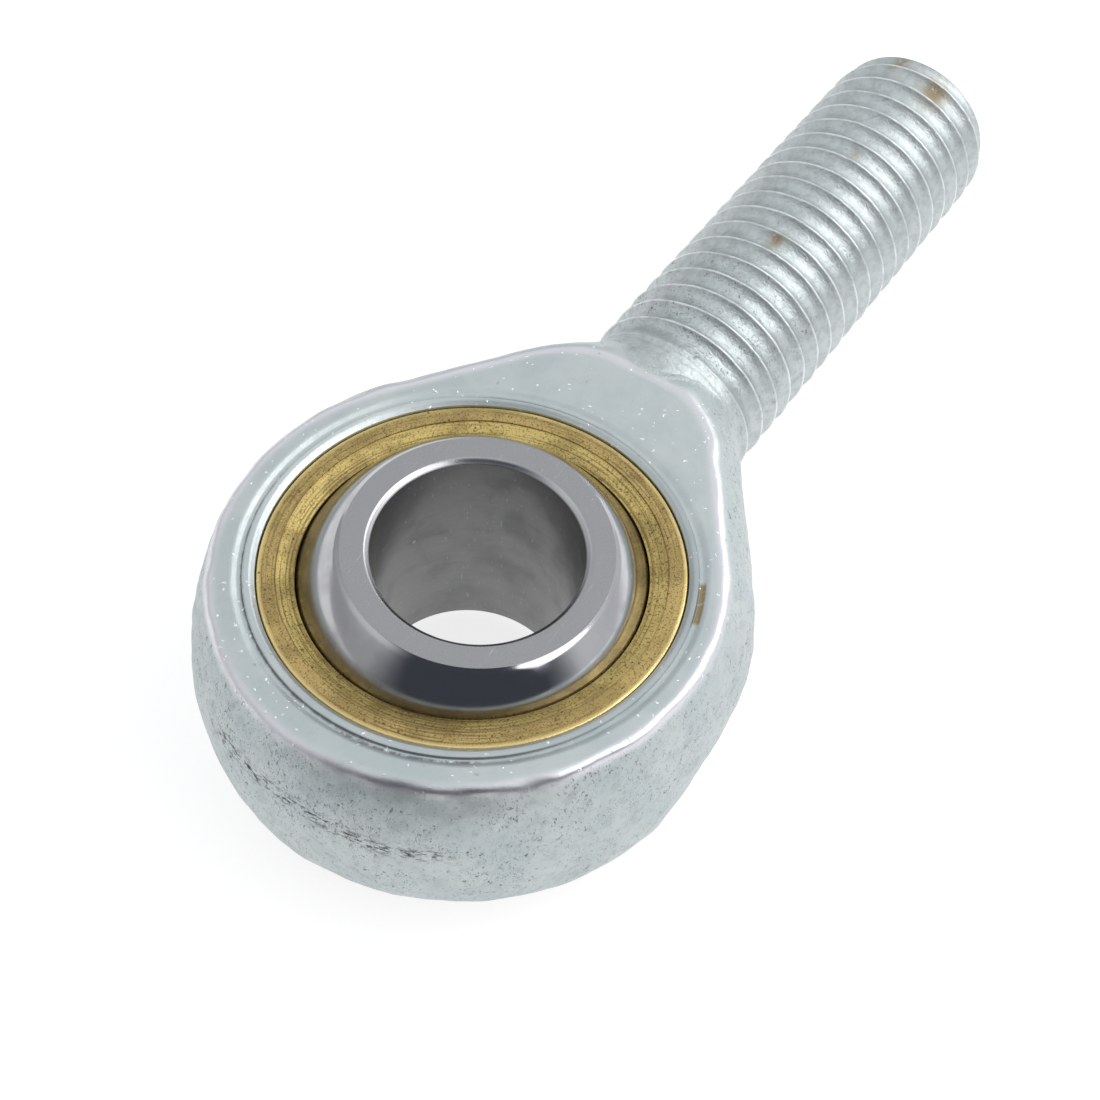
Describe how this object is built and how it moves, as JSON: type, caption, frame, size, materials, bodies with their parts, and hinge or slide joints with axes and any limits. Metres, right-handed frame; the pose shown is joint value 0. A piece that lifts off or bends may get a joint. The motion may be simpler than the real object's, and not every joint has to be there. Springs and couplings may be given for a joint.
{
  "type": "rod end bearing",
  "caption": "Male rod end bearing: forged head with a threaded shank, staked brass race and a swivelling steel ball with a through bore.",
  "frame": {"origin": "centre of the ball, which is also the centre of the race and of the head's thickness", "axes": "+Z square to the head's flat faces, +X along the threaded shank towards its tip, +Y across the head"},
  "size_m": [0.0709, 0.0308, 0.0172],
  "materials": {
    "plated_steel": "blue-white zinc plate over forged steel, satin with small dark pits",
    "race_brass": "turned brass, tarnished, bright on its edges",
    "grease": "brown grease",
    "ball_steel": "hardened steel, polished sphere with satin ground end faces"
  },
  "bodies": {
    "housing": {"rod_end_body": "plated_steel", "race": "race_brass"},
    "grease_film": {"grease": "grease"},
    "ball": {"ball": "ball_steel"}
  },
  "joints": [
    {"name": "ball_swivel", "type": "hinge", "parent": "housing", "child": "grease_film", "pos_m": [0, 0, 0], "axis": [0, 0, 1], "continuous": true},
    {"name": "ball_tilt", "type": "hinge", "parent": "grease_film", "child": "ball", "pos_m": [0, 0, 0], "axis": [-0.891, 0.454, 0], "range_deg": [-8.2, 17.8]}
  ]
}
